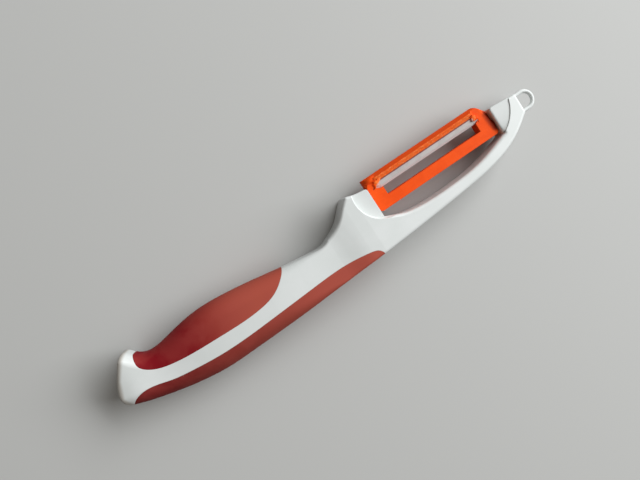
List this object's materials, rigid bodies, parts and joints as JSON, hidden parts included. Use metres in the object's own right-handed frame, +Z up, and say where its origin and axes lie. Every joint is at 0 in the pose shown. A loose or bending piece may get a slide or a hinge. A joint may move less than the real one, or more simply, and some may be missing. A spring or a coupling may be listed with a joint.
{
  "type": "vegetable peeler",
  "caption": "Straight swivel vegetable peeler: white plastic handle with soft red grips, an open bow, and a printed orange frame that holds a ceramic blade strip.",
  "frame": {"origin": "below the middle of the whole peeler, on the surface it lies on", "axes": "+X along the swivel axis from the butt towards the hanging loop, +Y across the handle from the palm side to the blade side, +Z up, away from the surface"},
  "size_m": [0.2086, 0.0324, 0.016],
  "materials": {
    "white_plastic": "semi-gloss moulded",
    "soft_grip": "matte soft-touch",
    "printed_plastic": "satin with fine layer lines",
    "ceramic": "satin ground"
  },
  "bodies": {
    "handle": {"handle_core": "white_plastic", "thumb_grip": "soft_grip", "palm_grip": "soft_grip"},
    "cutter": {"blade_frame": "printed_plastic", "ceramic_blade": "ceramic"}
  },
  "joints": [
    {"name": "blade_swivel", "type": "hinge", "parent": "handle", "child": "cutter", "pos_m": [0.05128, 0.0055, 0.008], "axis": [1, 0, 0], "range_deg": [-20, 20]}
  ]
}
